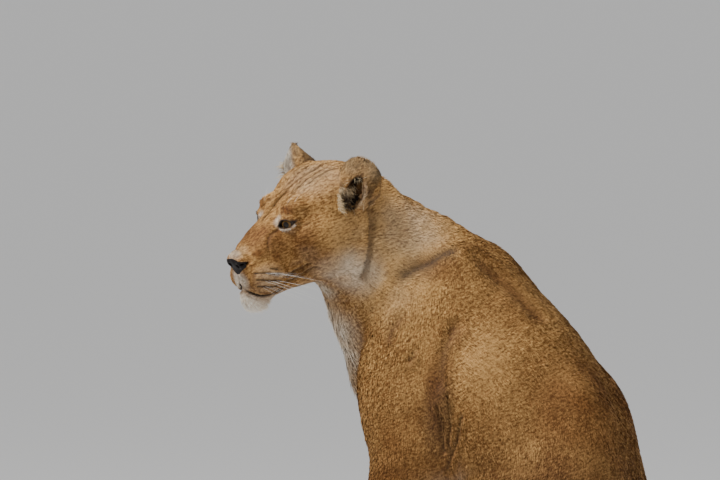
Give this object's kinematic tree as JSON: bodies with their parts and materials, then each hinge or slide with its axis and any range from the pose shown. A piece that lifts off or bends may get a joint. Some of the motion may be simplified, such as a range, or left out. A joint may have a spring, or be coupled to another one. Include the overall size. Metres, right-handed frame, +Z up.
{
  "type": "lioness",
  "caption": "Life-size still model of a lioness sitting upright on straight forelegs, her head turned to her left and her tail curled round behind her on the floor.",
  "frame": {"origin": "on the floor, under the middle of her outline", "axes": "+Z up; she sits facing -X, so her left side is -Y and her right side +Y"},
  "size_m": [0.8964, 0.659, 1.1641],
  "materials": {
    "coat": "short tawny fur that lies flat",
    "ear_coat": "short fur, tawny and grey-black behind, pale long hair inside",
    "tail_hair": "longer black-brown hair",
    "nose_leather": "moist, finely pebbled",
    "eye": "wet and glossy, amber iris"
  },
  "bodies": {
    "root": {"head": "coat", "neck": "coat", "foreleg_left": "coat", "forepaw_left": "coat", "hind_leg_left": "coat", "hind_paw_left": "coat", "foreleg_right": "coat", "forepaw_right": "coat", "hind_leg_right": "coat", "hind_paw_right": "coat", "trunk": "coat", "tail_1": "coat", "tail_2": "coat", "tail_3": "coat", "tail_tuft": "tail_hair", "nose": "nose_leather", "ear_left": "ear_coat", "ear_right": "ear_coat", "eye_left": "eye", "eye_right": "eye"}
  },
  "joints": []
}
